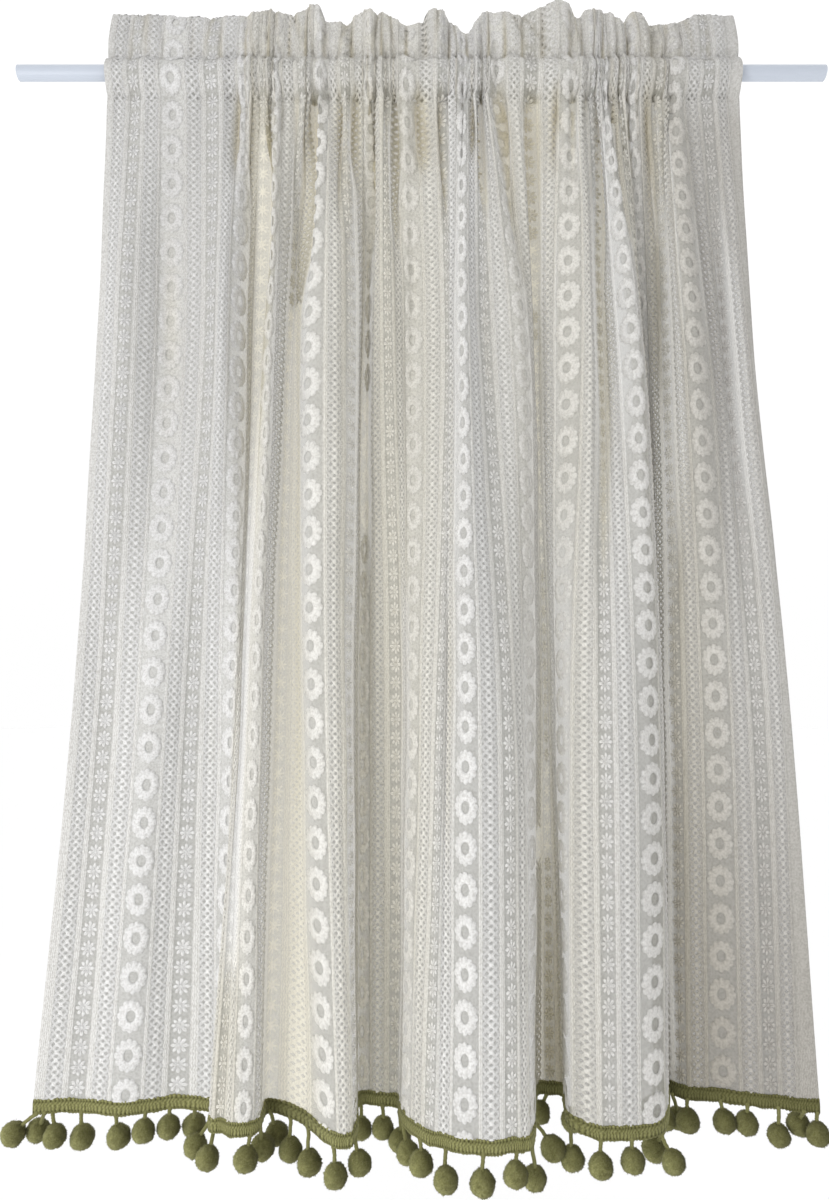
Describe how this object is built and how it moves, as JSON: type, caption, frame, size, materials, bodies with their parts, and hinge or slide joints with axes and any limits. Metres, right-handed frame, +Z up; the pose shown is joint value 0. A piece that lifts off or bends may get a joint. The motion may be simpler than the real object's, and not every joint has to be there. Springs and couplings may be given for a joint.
{
  "type": "cafe curtain on a rod",
  "caption": "Short gathered lace curtain with a frilled heading and a pompom-trimmed hem, hanging in uneven folds from a plain round rod.",
  "frame": {"origin": "middle of the rod's left end face, seen from the front of the curtain", "axes": "+X along the rod to its right end, +Y from the front of the cloth to its back, +Z up"},
  "size_m": [0.723, 0.1232, 0.9976],
  "materials": {
    "lace": "cream cotton lace, matt, pierced and sheer",
    "trim_yarn": "olive yarn, braided tape and fuzzy pompoms",
    "rod_paint": "pale grey-blue satin paint"
  },
  "bodies": {
    "root": {"curtain_panel": "lace", "pompom_trim": "trim_yarn", "rod": "rod_paint"}
  },
  "joints": []
}
